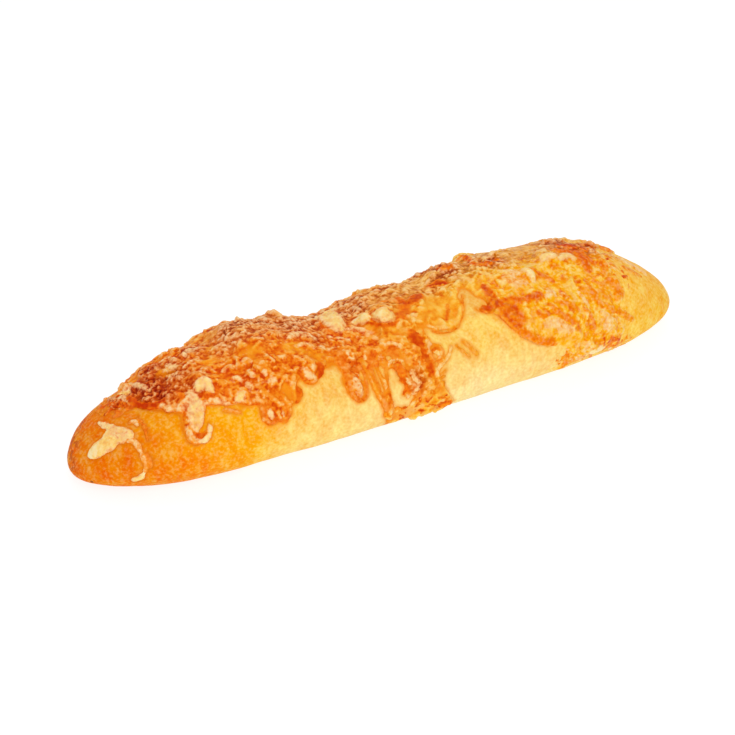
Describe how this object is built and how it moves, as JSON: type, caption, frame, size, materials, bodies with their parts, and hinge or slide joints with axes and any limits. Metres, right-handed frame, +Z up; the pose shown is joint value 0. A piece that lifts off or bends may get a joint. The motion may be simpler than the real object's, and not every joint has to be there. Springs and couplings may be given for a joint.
{
  "type": "cheese sandwich loaf",
  "caption": "Long bread roll with a flat underside and rounded ends, topped with grated cheese that melted, ran down its sides in drips and browned.",
  "frame": {"origin": "centre of the flat underside, on the surface that the loaf rests on", "axes": "+X along the loaf, towards the end that the picture shows further away; -Y is the side the picture shows; +Z up"},
  "size_m": [0.25, 0.0626, 0.0411],
  "materials": {
    "bread_crust": "baked golden crust, matt with a faint satin",
    "melted_cheese": "melted and browned cheese, slightly oily"
  },
  "bodies": {
    "root": {"loaf": "bread_crust", "cheese_sheet": "melted_cheese", "cheese_left_patch": "melted_cheese", "cheese_strand_1": "melted_cheese", "cheese_strand_2": "melted_cheese", "cheese_strand_3": "melted_cheese", "cheese_strand_4": "melted_cheese", "cheese_strand_5": "melted_cheese"}
  },
  "joints": []
}
